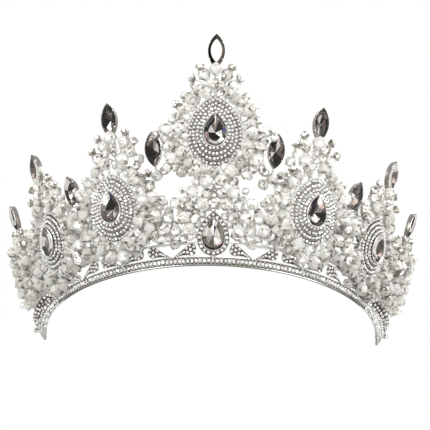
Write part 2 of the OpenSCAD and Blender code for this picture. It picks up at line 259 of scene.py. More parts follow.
# painted reflections in the gems: black, brown, grey and white facets, and a rare blue one
FOIL = faceted("gem_foil",
               [(0, (0.002, 0.002, 0.002)), (0.34, (0.008, 0.007, 0.006)), (0.44, (0.06, 0.047, 0.042)),
                (0.54, (0.24, 0.185, 0.17)), (0.62, (0.11, 0.105, 0.10)), (0.72, (0.42, 0.40, 0.385)),
                (0.79, (1, 1, 1)), (0.985, (1, 1, 1)), (0.99, (0.03, 0.05, 0.4))],
               Metallic=1.0, Roughness=0.12)


# Meshes -----------------------------------------------------------------------
class Piece:
    """Collects many small parts into one mesh with several materials."""

    def __init__(self, name, slot, mats, node):
        self.name, self.slot, self.mats, self.node = name, slot, mats, node
        self.verts, self.faces, self.slots, self.tones = [], [], [], []

    def add(self, place, verts, faces, slots=None, tones=None, table=None):
        """Add one part. Its facets take tones from 0 to 1, random where none are given.

        table is the tone of the last facet, the painted reflection on a stone's table.
        """
        base = len(self.verts)
        self.verts += [place @ Vector(v) for v in verts]
        self.faces += [tuple(base + i for i in f) for f in faces]
        self.slots += list(slots) if slots else [0] * len(faces)
        self.tones += tones if tones else [rng.random() for _ in faces]
        if table is not None:
            self.tones[-1] = table

    def build(self, smooth=None):
        """Make the object. Where smooth is given, edges sharper than that many degrees stay sharp."""
        mesh = bpy.data.meshes.new(self.name)
        mesh.from_pydata([tuple(v) for v in self.verts], [], self.faces)
        for mat in self.mats:
            mesh.materials.append(mat)
        mesh.polygons.foreach_set("material_index", self.slots)
        mesh.attributes.new("facet", "FLOAT", "FACE").data.foreach_set("value", self.tones)
        if smooth is not None:
            mesh.polygons.foreach_set("use_smooth", [True] * len(mesh.polygons))
            mesh.set_sharp_from_angle(angle=radians(smooth))
        mesh.update()
        obj = bpy.data.objects.new(self.name, mesh)
        bpy.context.scene.collection.objects.link(obj)
        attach(obj, "root")
        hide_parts(self.node)


def loft(loops, close_first=False, close_last=False, slots=None):
    """Skin a stack of equal loops of points. slots gives each band's material."""
    n = len(loops[0])
    verts = [p for loop in loops for p in loop]
    faces, mats = [], []
    for k in range(len(loops) - 1):
        for i in range(n):
            j = (i + 1) % n
            faces.append((k * n + i, k * n + j, (k + 1) * n + j, (k + 1) * n + i))
            mats.append(slots[k] if slots else 0)
    if close_first:
        faces.append(tuple(reversed(range(n))))
        mats.append(slots[0] if slots else 0)
    if close_last:
        faces.append(tuple((len(loops) - 1) * n + i for i in range(n)))
        mats.append(slots[-1] if slots else 0)
    return verts, faces, mats


def zigzag(loops, mats, close_first=True):
    """Skin loops that are each turned half a step from the last, with triangles, and close the top."""
    n = len(loops[0])
    verts = [p for loop in loops for p in loop]
    faces, slots = [], []
    for k in range(len(loops) - 1):
        lead = k % 2
        for i in range(n):
            j = (i + 1) % n
            a, b = k * n + i, k * n + j
            c, d = (k + 1) * n + i, (k + 1) * n + j
            faces += [(a, b, c), (b, d, c)] if lead == 0 else [(a, b, d), (a, d, c)]
            slots += [mats[k]] * 2
    if close_first:
        faces.append(tuple(reversed(range(n))))
        slots.append(mats[0])
    faces.append(tuple((len(loops) - 1) * n + i for i in range(n)))
    slots.append(mats[-1])
    return verts, faces, slots


def circle(r, z, n, half=0.0):
    """A loop of n points at height z. half is the share of a step that it is turned by."""
    return [(r * cos(2 * pi * (i + half) / n), r * sin(2 * pi * (i + half) / n), z)
            for i in range(n)]


def stack(rows, size, n):
    """Loops for zigzag, from rows of height and radius that are multiples of size."""
    return [circle(size * r, size * z, n, 0.5 * (k % 2)) for k, (z, r) in enumerate(rows)]


def bead(d):
    """A cut bicone bead with its hole along z."""
    rows = ((-0.47, 0.17), (-0.12, 0.51), (0.12, 0.51), (0.47, 0.17))
    return zigzag(stack(rows, d, 6), [0] * 3)


def round_stone(d):
    """A small round stone: girdle, crown and table, its front along +z."""
    rows = ((0, 0.5), (0.2, 0.45), (0.38, 0.27))
    return zigzag(stack(rows, d, 8), [0] * 2, close_first=False)


def ball(r, place, piece, mat):
    """A grain of metal: the outer half of a small ball."""
    rows = ((0, 0.95), (0.55, 0.78), (0.92, 0.3))
    piece.add(place, *zigzag(stack(rows, r, 6), [mat] * 2, close_first=False))


def pear(w, h, m, n, half=0.0):
    """Pear outline, point up. A larger m pulls the point in."""
    top = max(sin(a * pi / 180) * sin(a * pi / 360) ** m for a in range(1, 180))
    return [(-w / 2 * sin(a) * abs(sin(a / 2)) ** m / top, h / 2 * cos(a))
            for a in (2 * pi * (i + half) / n for i in range(n))]


def navette(w, h, n, half=0.0):
    """Navette outline: two arcs that meet in points."""
    r = (w * w + h * h) / (4 * w)
    points = []
    for i in range(n):
        u = (i + half) % n / n
        side, s = (1, u * 2) if u < 0.5 else (-1, 2 - u * 2)
        y = -h / 2 * cos(pi * s)
        points.append((side * (sqrt(max(r * r - y * y, 0)) - (r - w / 2)), y))
    return points


def lift(outline, z, k=1.0, drop=0.0):
    """An outline at height z, scaled by k and moved along y by drop."""
    return [(x * k, y * k + drop, z) for x, y in outline]


def patches(sectors, per, rings, dark, light):
    """Tones for rings of facets where neighbours share one, evenly spread and shuffled: painted reflections
    in a gem's pavilion.
    """
    count = sectors * rings
    tones = [dark + (light - dark) * (i + 0.5) / count for i in range(count)]
    rng.shuffle(tones)
    return [tone for tone in tones for _ in range(per)]


def cut_stone(piece, place, outline, size, depth, crown, sectors, drop=0.0, dark=0.0, light=1.0):
    """A foil-backed stone: a clear crown over a foil pavilion cut in a few large facets.

    drop moves the pavilion's point and the table off centre. dark and light are the ends of the
    foil's tones, which are painted reflections, and a stone whose tones may reach 1 has one facet with a
    painted blue reflection.
    """
    line = outline(*size, GEM_N, 0.5)
    culet = lift(line, -depth, 0.04, drop)
    middle = lift(line, -depth * 0.5, 0.6, drop * 0.5)
    verts, faces, _ = loft([culet, middle, lift(line, 0)])
    tones = patches(sectors, GEM_N // sectors, 2, dark, light)
    if light == 1.0:
        tones[rng.randrange(GEM_N * 2)] = 1.0
    piece.add(place, verts, faces, [1] * len(faces), tones)
    shoulder = lift(line, crown * 0.75, 0.74, drop * 0.2)
    table = lift(line, crown, 0.36, drop * 0.3)
    girdle = [lift(line, 0.02 * MM), lift(line, 0.35 * MM)]
    piece.add(place, *loft([*girdle, shoulder, table], close_first=True, close_last=True)[:2])


def gem_pear(w, h, n, half):
    """The outline of the pear stones."""
    return pear(w, h, PEAR_POINT, n, half)


def along(points, count):
    """Evenly spaced places on a closed outline, with the outline's direction there."""
    n = len(points)
    lengths = [hypot(points[(i + 1) % n][0] - points[i][0], points[(i + 1) % n][1] - points[i][1])
               for i in range(n)]
    total, result, i, done = sum(lengths), [], 0, 0.0
    for k in range(count):
        goal = total * k / count
        while done + lengths[i] < goal:
            done += lengths[i]
            i += 1
        a, b, s = points[i], points[(i + 1) % n], (goal - done) / lengths[i]
        result.append((a[0] + (b[0] - a[0]) * s, a[1] + (b[1] - a[1]) * s,
                       degrees(atan2(b[1] - a[1], b[0] - a[0]))))
    return result, total


def pave_line(piece, place, outline, z, d, gap):
    """A row of round stones of size d on an outline, with claw grains between them."""
    start = rng.randrange(len(outline))
    outline = outline[start:] + outline[:start]
    count = int(along(outline, 1)[1] / (d + gap))
    for x, y, _ in along(outline, count)[0]:
        x += rng.uniform(-0.12, 0.12) * MM
        y += rng.uniform(-0.12, 0.12) * MM
        here = place @ shift(x, y, z) @ turn("Z", rng.uniform(0, 45))
        piece.add(here @ rock(14), *round_stone(d), table=rng.uniform(0.7, 1))
    for x, y, a in along(outline, count * 2)[0][1::2]:
        for side in (-1, 1):
            off = Vector((-sin(radians(a)), cos(radians(a)))) * side * d * 0.36
            ball(0.19 * MM, place @ shift(x + off.x, y + off.y, z + 0.12 * MM), piece, 1)


def milgrain(piece, place, outline, z):
    """A row of grains along the edge of a casting."""
    count = int(along(outline, 1)[1] / GRAIN_PITCH)
    for x, y, _ in along(outline, count)[0]:
        ball(GRAIN, place @ shift(x, y, z), piece, 0)


# Medallions -------------------------------------------------------------------
def bezel(steps):
    """The rim that holds a pear stone.

    Each step has its distance outside the stone, its height and its material; material 1 is the bed's
    painted shade, on the lip inside.
    """
    loops = [lift(pear(PEAR[0] + grow * MM, PEAR[1] + grow * 1.4 * MM, PEAR_POINT, OUTLINE_N), z * MM)
             for grow, z, slot in steps]
    return loops, [slot for grow, z, slot in steps]


def tiers(wall):
    """The steps of a medallion's casting, each with a raised rim and a sunk bed for stones, the bed in
    painted shade.
    """
    # height above the tier's top, how far in from its edge in rims (across and along), and material
    rim = ((0.12 * MM, 0, 0, 0), (0.2 * MM, 0.5, 0.6, 0), (0.2 * MM, 1.1, 1.4, 0), (0, 1.4, 1.8, 1))
    loops, slots = [], []
    for i in range(TIERS):
        w, h = MED_SIZE[0] - 2 * TIER_STEP * i, MED_SIZE[1] - 2.5 * TIER_STEP * i
        top = TIER_RISE * (i + 1)
        loops.append(lift(pear(w, h, TIER_POINT[i], OUTLINE_N), TIER_RISE * i))
        slots.append(wall if i else 0)
        for rise, across, long, slot in rim:
            outline = pear(w - TIER_RIM * across, h - TIER_RIM * long, TIER_POINT[i], OUTLINE_N)
            loops.append(lift(outline, top + rise))
            slots.append(slot)
    return loops, slots


def medallion(name, k, side):
    """A stepped casting with four rings of small stones round a pear stone."""
    place = face(side * PANEL_T[k], MED_W[k]) @ Matrix.Scale(MED_SCALE[k], 4)
    # the walls of the outer medallions face the front, and take the beds' painted shade
    wall = 1 if k == 2 else 0
    cast = Piece("casting_" + name, "silver", [SILVER, PAINTED_SHADE_BED], "medallion_" + name)
    loops, slots = tiers(wall)
    rim, rim_slots = bezel(((0.9, 3.2, wall), (0.9, 4.4, 0), (0.5, 4.6, 0), (0.05, 4.4, 1), (0, 2, 1)))
    cast.add(place, *loft(loops + rim, close_first=True, close_last=True, slots=slots + rim_slots))
    edge_line = pear(MED_SIZE[0] + 0.3 * MM, MED_SIZE[1] + 0.3 * MM, TIER_POINT[0], ROW_N)
    milgrain(cast, place, edge_line, TIER_RISE + 0.1 * MM)
    cast.build(smooth=35)

    stones = Piece("pave_rings_" + name, "rhinestone", [RHINE, SILVER], "pave_" + name)
    for i in range(TIERS):
        inset = TIER_STEP * (2 * i + 1.1)
        outline = pear(MED_SIZE[0] - inset, MED_SIZE[1] - 1.25 * inset, TIER_POINT[i], ROW_N)
        pave_line(stones, place, outline, TIER_RISE * (i + 1) + 0.15 * MM, 1.5 * MM, 0.1 * MM)
    # a point of small stones over the top of the casting
    for x, y, d in ((0, 14.6, 1.6), (0, 16.2, 1.4), (0, 17.6, 1.2), (-1.6, 13.6, 1.4), (1.6, 13.6, 1.4)):
        here = place @ shift(x * MM, y * MM, 1.2 * MM)
        stones.add(here, *round_stone(d * MM), table=rng.uniform(0.7, 1))
    stones.build()

    gem = Piece("pear_gem_" + name, "smoky_stone", [SMOKY, FOIL], "stone_" + name)
    cut_stone(gem, place @ shift(0, 0, 4.2 * MM), gem_pear, PEAR, 2.2 * MM, 1.5 * MM, 8, -0.9 * MM,
              light=0.8 if k == 2 else 1.0)
    gem.build()


def drop():
    """The low pear stone in the middle, in its rim and ring of small stones."""
    place = face(0, DROP_W)
    w, h = DROP_FRAME
    cast = Piece("drop_casting", "silver", [RAIL, PAINTED_SHADE_BED], "drop_frame")
    # the floor inside the rim and the bezel's inner lip take the bed's painted shade
    # how much narrower and shorter each step of the rim is, its height and its material
    steps = ((0, 0, 0, 0), (0, 0, 2.2, 0), (0.12, 0.15, 2.3, 0), (0.36, 0.45, 2.3, 0), (0.46, 0.6, 1.9, 1))
    loops = [lift(pear(w - across * MM, h - long * MM, DROP_POINT, OUTLINE_N), z * MM)
             for across, long, z, slot in steps]
    slots = [slot for across, long, z, slot in steps]
    rim, rim_slots = bezel(((0.55, 1.9, 0), (0.55, 2.3, 0), (0.3, 2.4, 0), (0.05, 2.3, 1), (0, 0.3, 1)))
    cast.add(place, *loft(loops + rim, close_first=True, close_last=True, slots=slots + rim_slots))
    cast.build(smooth=35)
    stones = Piece("drop_pave_ring", "rhinestone", [RHINE, SILVER], "drop_pave")
    outline = pear(w - 2 * MM, h - 2.6 * MM, 0.55, ROW_N)
    pave_line(stones, place, outline, 2 * MM, 1.6 * MM, 0.25 * MM)
    stones.build()
    gem = Piece("drop_gem", "smoky_stone", [SMOKY, FOIL], "drop_stone")
    cut_stone(gem, place @ shift(0, 0, 2.2 * MM), gem_pear, PEAR, 2 * MM, 1.5 * MM, 8, -0.9 * MM, dark=0.42)
    gem.build()


# Clear gaps in the panels: angle, height up the face, distance across and radius
OPENINGS = ((0, 33, 17, 5), (0, 41.5, 22.5, 3), (43, 19.5, 0, 4.5), (44.5, 34.5, 0, 4),
            (36.5, 24.5, 0, 3))
GAPS = [(face(side * t, up * MM, 0, side * across * MM).translation, radius * MM)
        for t, up, across, radius in OPENINGS for side in (-1, 1)]


def in_gap(spot):
    """Whether a part there would close one of the clear gaps."""
    return any((spot.translation - centre).length < radius for centre, radius in GAPS)


# Beads ------------------------------------------------------------------------
def on_layer(place, x, y, layer):
    """A spot on the front of a panel. A higher layer stands further out."""
    return place @ shift(x, y, BEAD_OUT + layer * BEAD_LAYER)


def set_bead(piece, place, x, y, a, d=BEAD, layer=0.0, stretch=1.0):
    """A bead with its hole along angle a, unless it would stand in a gap. stretch is along the hole."""
    spin = turn("Z", -a) @ turn("X", 90) @ turn("Z", rng.uniform(0, 45))
    wobble = rock(30)
    x += rng.uniform(-0.5, 0.5) * MM
    y += rng.uniform(-0.5, 0.5) * MM
    spot = on_layer(place, x, y, layer)
    if in_gap(spot):
        return
    verts, faces, slots = bead(d)
    piece.add(spot @ wobble @ spin @ Matrix.Scale(stretch, 4, (0, 0, 1)), verts, faces, slots)
    # a few beads have mostly dark facets
    if shade.random() < 0.06:
        piece.tones[-len(faces):] = [0.4 * tone for tone in piece.tones[-len(faces):]]


def cup_stone(piece, place, x, y, d=END_BEAD, layer=0.0):
    """A small round stone in a four-claw cup, facing outward."""
    here = on_layer(place, x, y, layer) @ turn("Z", rng.uniform(0, 90))
    claw_cup(piece, here @ rock(24), d)


def end_cap(piece, place, x, y, a, layer=0.0):
    """The cup that closes the outer end of a spoke, facing along it."""
    here = on_layer(place, x, y, layer) @ turn("Z", -a)
    claw_cup(piece, here @ turn("X", -90 + rng.uniform(15, 60)) @ turn("Y", rng.uniform(-20, 20)), CAP)


def claw_cup(piece, here, d):
    """A round stone in a cone with four claws."""
    verts, faces, _ = round_stone(d * 0.92)
    piece.add(here @ shift(0, 0, 0.1 * MM), verts, faces, [2] * len(faces), table=rng.random())
    rows = ((0.2, -1.7, 0), (0.46, -0.4, 0.5), (0.53, 0.25, 0), (0.46, 0.25, 0.5), (0.45, -0.1, 0))
    cone = [circle(d * r, z * MM, 8, half) for r, z, half in rows]
    piece.add(here, *zigzag(cone, [1] * 4))
    for q in range(4):
        ball(0.4 * MM, here @ turn("Z", q * 90 + 45) @ shift(d * 0.44, 0, 0.2 * MM), piece, 1)


def edge(a, s):
    """How far a medallion's edge is from its middle, at angle a from its point and at scale s."""
    return s / sqrt((sin(a) / MED_SIZE[0] * 2) ** 2 + (cos(a) / MED_SIZE[1] * 2) ** 2)


def spray(piece, k, panel_side):
    """The spokes of beads round a medallion, and the crest flower above it."""
    place, s = face(panel_side * PANEL_T[k], MED_W[k]), MED_SCALE[k]
    top = face(panel_side * CREST_T[k], CREST_W[k])
    for side in (-1, 1):
        def polar(a, r):
            return side * r * sin(radians(a)), r * cos(radians(a)), side * a

        for i, a in enumerate(SPOKES):
            layer = i % 2
            r = edge(radians(a), s) + RING_GAP + 0.6 * MM * layer
            set_bead(piece, place, *polar(a, r), BEAD - 0.5 * MM, layer, LONG)
            if a < 80:
                end_cap(piece, place, *polar(a, r + 3.5 * MM), layer)
            elif a < 150:
                set_bead(piece, place, *polar(a, r + 5 * MM), BEAD - 0.8 * MM, layer, LONG)
                if i % 2:
                    end_cap(piece, place, *polar(a + 5, r + 9 * MM), layer)
            # seed beads close the gap to the casting, and a back layer the gaps in the ring
            near = a + 8.5
            r = edge(radians(near), s)
            set_bead(piece, place, *polar(near, r + 1.4 * MM), 3.8 * MM, 0.5)
            set_bead(piece, place, *polar(near, r + 4.6 * MM), 5.2 * MM, -0.8)
            if 75 < a < 140:
                set_bead(piece, place, *polar(near, r + 9 * MM), 4.8 * MM, -0.6)
        # the crest flower
        set_bead(piece, top, side * 4.8 * MM, -10 * MM, side * 30, BEAD - 0.4 * MM, 0, LONG)
        set_bead(piece, top, side * 7.8 * MM, -14.6 * MM, side * 55, BEAD - 0.4 * MM, 0, LONG)
        set_bead(piece, top, side * 4.9 * MM, -18.3 * MM, side * 40, BEAD, 1)
        set_bead(piece, top, side * 9.8 * MM, -19 * MM, side * 60, 5 * MM, -0.5)
        set_bead(piece, top, side * 3 * MM, -14.6 * MM, side * 60, 3.6 * MM, 1)
        end_cap(piece, top, side * 6.8 * MM, -6.7 * MM, side * 40, 0.6)
        end_cap(piece, top, side * 10.2 * MM, -11.5 * MM, side * 60, 0.6)
        set_bead(piece, place, *polar(29, edge(radians(29), s) + 3 * MM), 5.4 * MM, -0.6)
        set_bead(piece, place, *polar(16, edge(radians(16), s) + 1.6 * MM), 3.4 * MM, 0.2)
        set_bead(piece, place, side * 6.4 * MM, 17.4 * MM, side * 40, 5 * MM, 0.6)
        set_bead(piece, place, side * 2.6 * MM, 19.4 * MM, side * 20, 4.6 * MM, -0.4)
        set_bead(piece, place, side * 3 * MM, -21.6 * MM, side * 165, BEAD, 1)
        set_bead(piece, place, side * 7.6 * MM, -20.8 * MM, side * 150, 5 * MM, -0.6)
    set_bead(piece, top, 0, -8.2 * MM, 0, BEAD, 0.9)
    cup_stone(piece, top, 0, -13 * MM, END_BEAD, 0.6)
    set_bead(piece, place, 0, -18.6 * MM, 90, 4.2 * MM, 0)


def center_foot(piece):
    """Rows of beads between the centre medallion, the drop and the next panels."""
    place = face(0)
    # first bead's distance from the middle, pitch, count, height and the first bead's layer
    rows = ((3, 5.7, 2, 30, 0), (4.7, 5.4, 3, 25, 1), (7.8, 5.4, 4, 19.6, 0), (9.9, 5.4, 4, 14, 1))
    fillers = ((4.6, 20.8, 3.6), (6.8, 16.9, 3.8), (8.2, 13, 3.6), (2.9, 24.6, 3.6), (15.6, 8.6, 4.4))
    for side in (-1, 1):
        for first, pitch, count, up, lead in rows:
            for i in range(count):
                x = side * (first + pitch * i) * MM
                a = side * (90 - up * 2)
                set_bead(piece, place, x, up * MM, a, BEAD - 0.2 * MM, (i + lead) % 2)
                set_bead(piece, place, x + side * 2.6 * MM, (up - 2.6) * MM, side * 40, 4.2 * MM, -0.6)
        for x, y in ((13, 30.6), (20.4, 25.4), (9.6, 11)):
            cup_stone(piece, place, side * x * MM, y * MM, END_BEAD, 1)
        for x, y, d in fillers:
            set_bead(piece, place, side * x * MM, y * MM, side * 50, d * MM, -0.2)
    for y in (22.6, 24.4, 26.4, 28.6, 31.2, 34):
        cup_stone(piece, place, 0, y * MM, 2.2 * MM, 1.2)


def side_foot(piece, k, side):
    """Beads under a side medallion, and those that carry the navette beside it."""
    foot = face(side * PANEL_T[k])
    # distance from the middle, height, bead size and layer
    spots = ((8.8, 10, 5.4, 0), (19.6, 10.6, 5.4, 0), (14.2, 11.6, 5.4, 1),
             (3.4, 11.4, 4.6, 0.6), (17, 16.4, 5.4, 0), (11.4, 14, 5, -0.6))
    for q in (-1, 1):
        for x, up, d, layer in spots:
            set_bead(piece, foot, q * x * MM, up * MM, q * (90 - x * 3), d * MM, layer)
    stem = face(side * SIDE_T[k - 1], SIDE_W[k - 1])
    set_bead(piece, stem, 0, -11.4 * MM, 0, BEAD - 0.8 * MM)
    for q in (-1, 1):
        end_cap(piece, stem, q * 3.6 * MM, -9.4 * MM, q * 30)
        set_bead(piece, stem, q * 3.4 * MM, -14.6 * MM, q * 40, 5 * MM, -0.5)


def end_columns(piece, side):
    """Columns of beads that close one end, standing a little proud of the panels.

    The two outermost start one bead higher, above the sheet of small stones.
    """
    for i, (a, out) in enumerate(zip(END_COLUMN_T, END_COLUMN_OUT)):
        for j in range(1 if i > 2 else 0, 6):
            up = (10 + 5.5 * j + (i % 2) * 2.8) * MM
            set_bead(piece, face(side * a, up, out), 0, 0, 90, BEAD, i % 2)
            set_bead(piece, face(side * (a + 1.8), up + 2.8 * MM, out), 0, 0, 40, 4.8 * MM, -0.4)
            set_bead(piece, face(side * (a + 1.7), up + 0.6 * MM, out), 0, 0, 20, 3.4 * MM, 1.2)
    for i in range(4):
        up = (18.7 + 5.7 * i) * MM
        set_bead(piece, face(side * 87.6, up, 2.6 * MM), 0, 0, 70, 5.2 * MM, 0)
    # small cupped stones between the outer medallion and the end stone: angle and height
    cups = ((70, 41), (72, 42.5), (68, 40), (71.5, 36.5), (75.5, 44.5), (67.5, 34), (72, 31), (76, 38.5))
    for a, up in cups:
        cup_stone(piece, face(side * a, up * MM, 2.6 * MM), 0, 0, END_BEAD, 0.9)


def beads(name, k, side):
    """All the beads of one panel."""
    piece = Piece("bead_spray_" + name, "crystal", [CRYSTAL, CLAW, RHINE], "beads_" + name)
    spray(piece, k, side)
    if k == 0:
        center_foot(piece)
    else:
        side_foot(piece, k, side)
    if k == 2:
        end_columns(piece, side)
    piece.build()


# Navettes ---------------------------------------------------------------------
def navette_gem(node, place):
    """A navette stone. The one at the top in the middle has a wide table painted white, a painted
    reflection.
    """
    piece = Piece("gem_" + node, "smoky_stone", [SMOKY, FOIL, SILVER, RHINE], node)
    here = place @ shift(0, 0, 2.3 * MM)
    if node == "crest_center":
        # the table is painted white, a painted reflection of the white studio, and only the cut rim round
        # it takes the darker painted reflections of the foil
        line = navette(*NAVETTE, GEM_N, 0.5)
        rim = [lift(line, -1.3 * MM, 0.9), lift(line, 0), lift(line, 1 * MM, 0.7)]
        verts, faces, _ = loft(rim)
        piece.add(here, verts, faces, [1] * len(faces), patches(8, GEM_N // 8, 2, 0.25, 0.72))
        piece.add(here, lift(line, 0.98 * MM, 0.71), [tuple(range(GEM_N))], [3], table=1)
    else:
        cut_stone(piece, here, navette, NAVETTE, 1.6 * MM, 1.4 * MM, 6, light=0.81)
    piece.build()


def navette_cup(node, place):
    """A thin closed cup round the stone, four claws and a short stalk behind."""
    cup = Piece("claws_" + node, "silver", [PAINTED_SHADE_METAL, SILVER], node)
    w, h = NAVETTE
    # how much wider than the stone each step of the wall is, and its height
    steps = ((-1.6, 0.3), (-0.2, 0.8), (0.45, 2.2), (0.45, 2.5), (0.15, 2.5), (0.05, 0.4))
    loops = [lift(navette(w + grow * MM, h + grow * 1.8 * MM, GEM_N, 0.5), z * MM) for grow, z in steps]
    # the cup's walls, rim and floor are painted shade; only its back is silver
    cup.add(place, *loft(loops, close_first=True, close_last=True, slots=[1, 0, 0, 0, 0]))
    for sx in (-1, 1):
        for sy in (-1, 1):
            ball(0.42 * MM, place @ shift(sx * w * 0.41, sy * h * 0.25, 2.6 * MM), cup, 1)
    stalk = [circle(0.55 * MM, z * MM, 10) for z in (0, 4.6)]
    verts, faces, _ = loft(stalk, close_first=True, close_last=True)
    cup.add(place @ shift(0, -h * 0.46, 0.9 * MM) @ turn("X", 90), verts, faces, [1] * len(faces))
    cup.build(smooth=40)


def side_place(i, side):
    """The place of side navette i. Each one leans a little more outward than the last."""
    return face(side * SIDE_T[i], SIDE_W[i], (0, 0, 0.5 * MM)[i]) @ turn("Z", -side * (i * 6 + 2))


# Band and scroll leaves -------------------------------------------------------
def band_strip():
    """The band: a channel between two rails, leaning outward with the panels."""
    piece = Piece("band_strip", "silver", [RAIL, PAINTED_SHADE_BED, PAINTED_SHADE_METAL], "band")
    back = BAND_DEPTH / MM
    # the underside and the channel take the bed's painted shade, and a thin strip along the lower front
    # edge is painted shade too
    # depth behind the front, height and material of each corner
    profile = ((back, 0.2, 1), (0.15, 0, 1), (0, 0.08, 2), (0, 0.3, 0), (0.05, 0.45, 0), (0.3, 0.5, 1),
               (0.3, 3.5, 1), (0.05, 3.55, 0), (0, 3.7, 0), (0, 3.9, 0), (0.1, 4, 0), (back, 4, 0))
    n, steps = len(profile), 172
    loops, slots = [], []
    for i in range(steps + 1):
        a = (2 * i / steps - 1) * BAND_ARC
        lean = radians(lean_at(a))
        loops.append([ring(a) @ Vector((0, -BAND_R + (depth - up * sin(lean)) * MM, up * cos(lean) * MM))
                      for depth, up, slot in profile])
        if i < steps:
            # near its ends the front of the band is set with stones and takes the bed's painted shade, so
            # only its back keeps the rails' painted highlight
            set_front = abs(a) > 58
            slots += [1 if set_front and slot == 0 and f < n - 1 else slot
                      for f, (depth, up, slot) in enumerate(profile)]
    verts, faces, _ = loft(loops, close_first=True, close_last=True)
    piece.add(Matrix.Identity(4), verts, faces, slots + [0, 0])
    piece.build(smooth=30)


def facing(t):
    """How far the small stones turn towards the front near the ends of the band."""
    return -25 * min(max((abs(t) - 50) / 20, 0), 1) * (1 if t > 0 else -1)


def band_row():
    """A row of round stones in the channel, with a row of grains on each side."""
    piece = Piece("band_row", "rhinestone", [RHINE, RAIL], "band_stones")
    oval = Matrix.Scale(1.15, 4, (0, 1, 0))
    for i in range(BAND_STONES):
        a = (2 * i / (BAND_STONES - 1) - 1) * (BAND_ARC - 1)
        here = low(a, BAND_H * 0.5, -0.05 * MM) @ turn("Y", facing(a))
        seat = here @ oval @ rock(20) @ turn("Z", rng.uniform(0, 45))
        d = 1.8 - 0.3 * abs(facing(a)) / 25
        piece.add(seat, *round_stone(d * MM), table=rng.uniform(0.35, 1))
        for s in (-1, 1):
            ball(0.36 * MM, here @ shift(0.86 * MM, s * 1.05 * MM), piece, 1)
    # towards the ends the lower edge carries small stones too
    for i in range(46):
        for side in (-1, 1):
            a = side * (58 + 28 * i / 46)
            here = low(a, 0.1 * MM, -0.35 * MM) @ turn("X", 75 + rng.uniform(-15, 15))
            piece.add(here, *round_stone(0.95 * MM), table=rng.uniform(0.3, 1))
    piece.build()


def leaf(place, tail, cast, stones):
    """A comma-shaped leaf whose tail, towards side tail, curls down to the band."""
    spine = []
    for i in range(13):
        u = i / 12
        half = (2.1 * (1 - u) ** 1.5 + 0.42) * MM
        spine.append((tail * (LEAF_HEAD + u * LEAF_L), -2.9 * MM * u ** 1.3, half))
    upper = [(x, y + r) for x, y, r in spine]
    lower = [(x, y - r) for x, y, r in reversed(spine)]
    cap = [(spine[0][0] - tail * spine[0][2] * sin(a), spine[0][2] * -cos(a))
           for a in (pi * q / 8 for q in range(1, 8))]
    outline = upper + lower + cap
    if tail > 0:
        outline.reverse()
    loops = [lift(outline, -0.5 * MM), lift(outline, 0.2 * MM), lift(outline, 0.4 * MM, 0.96)]
    # the top of the leaf, round its stones, is painted shade
    cast.add(place, *loft(loops, close_first=True, close_last=True, slots=[0, 1]))
    # a flower of seven stones in the head and four along the tail: place and size
    petals = [radians(q * 60 + 20) for q in range(6)]
    spots = [(0, 0, 1.55)]
    spots += [(1.72 * cos(a), 1.72 * sin(a), 1.5) for a in petals]
    spots += [(2.9, -1, 1.35), (4, -1.55, 1.2), (5.05, -2.05, 1.1), (6.1, -2.6, 0.95)]
    for x, y, d in spots:
        here = place @ shift(tail * (LEAF_HEAD + x * MM), y * MM, 0.35 * MM)
        stones.add(here @ rock(14), *round_stone(d * MM), table=rng.uniform(0.6, 1))
    for q in range(12):
        a = radians(q * 30)
        rim = shift(tail * LEAF_HEAD + 2.35 * MM * cos(a), 2.35 * MM * sin(a), 0.4 * MM)
        ball(0.24 * MM, place @ rim, stones, 1)


def end_lace(side, cast, stones):
    """Towards each end the leaves run together into one sheet of small stones."""
    start, steps = 63, 24
    loops = []
    for i in range(steps + 1):
        t = side * (start + (BAND_ARC - start) * i / steps)
        reach = 4.2 + 4.4 * min(1, i / 6)
        loops.append([low(t, up * MM, out * MM).translation
                      for up, out in ((4, -0.7), (4, -0.3), (reach, -0.3), (reach, -0.7))])
    if side < 0:
        loops = [loop[::-1] for loop in loops]
    verts, faces, _ = loft(loops, close_first=True, close_last=True)
    # the front of the sheet, between its stones, is painted shade
    cast.add(Matrix.Identity(4), verts, faces, [0, 1, 0, 0] * steps + [0, 0])
    # first angle, height, count and pitch of each row
    rows = ((61.8, 0.5, 15, 1.65), (62.4, 3.8, 14, 1.75), (64, 5.6, 10, 2.2), (65.6, 7.4, 8, 2.6))
    for first, up, count, pitch in rows:
        for i in range(count):
            t = side * (first + pitch * i + rng.uniform(-0.25, 0.25))
            height = (up + rng.uniform(-0.35, 0.35)) * MM
            here = low(t, height, -0.1 * MM) @ turn("Y", facing(t)) @ rock(18)
            d = rng.uniform(1.3, 1.9) * MM
            # their tables are painted reflections, darker than on the leaves
            stones.add(here, *round_stone(d), table=rng.uniform(0.15, 0.8))


def leaves():
    """The leaves and the sheet of each half, with their small stones."""
    for side, word in ((-1, "left"), (1, "right")):
        cast = Piece("leaf_" + word, "silver", [SILVER, PAINTED_SHADE_BED], "fret_" + word)
        stones = Piece("leaf_stones_" + word, "rhinestone", [RHINE, SILVER], "fret_stones_" + word)
        for i, t in enumerate(LEAF_T):
            leaf(low(side * t, LEAF_W), (1 if i % 2 == 0 else -1) * side, cast, stones)
        end_lace(side, cast, stones)
        cast.build(smooth=35)
        stones.build()


# Outline of the pointed end of the band, in millimetres: along it, and up its face
TIP = ((0, 0), (5, 0), (8.6, 0.5), (9.6, 1.5), (8.6, 2.9), (6, 4.6), (3, 6.4), (0, 7.2))


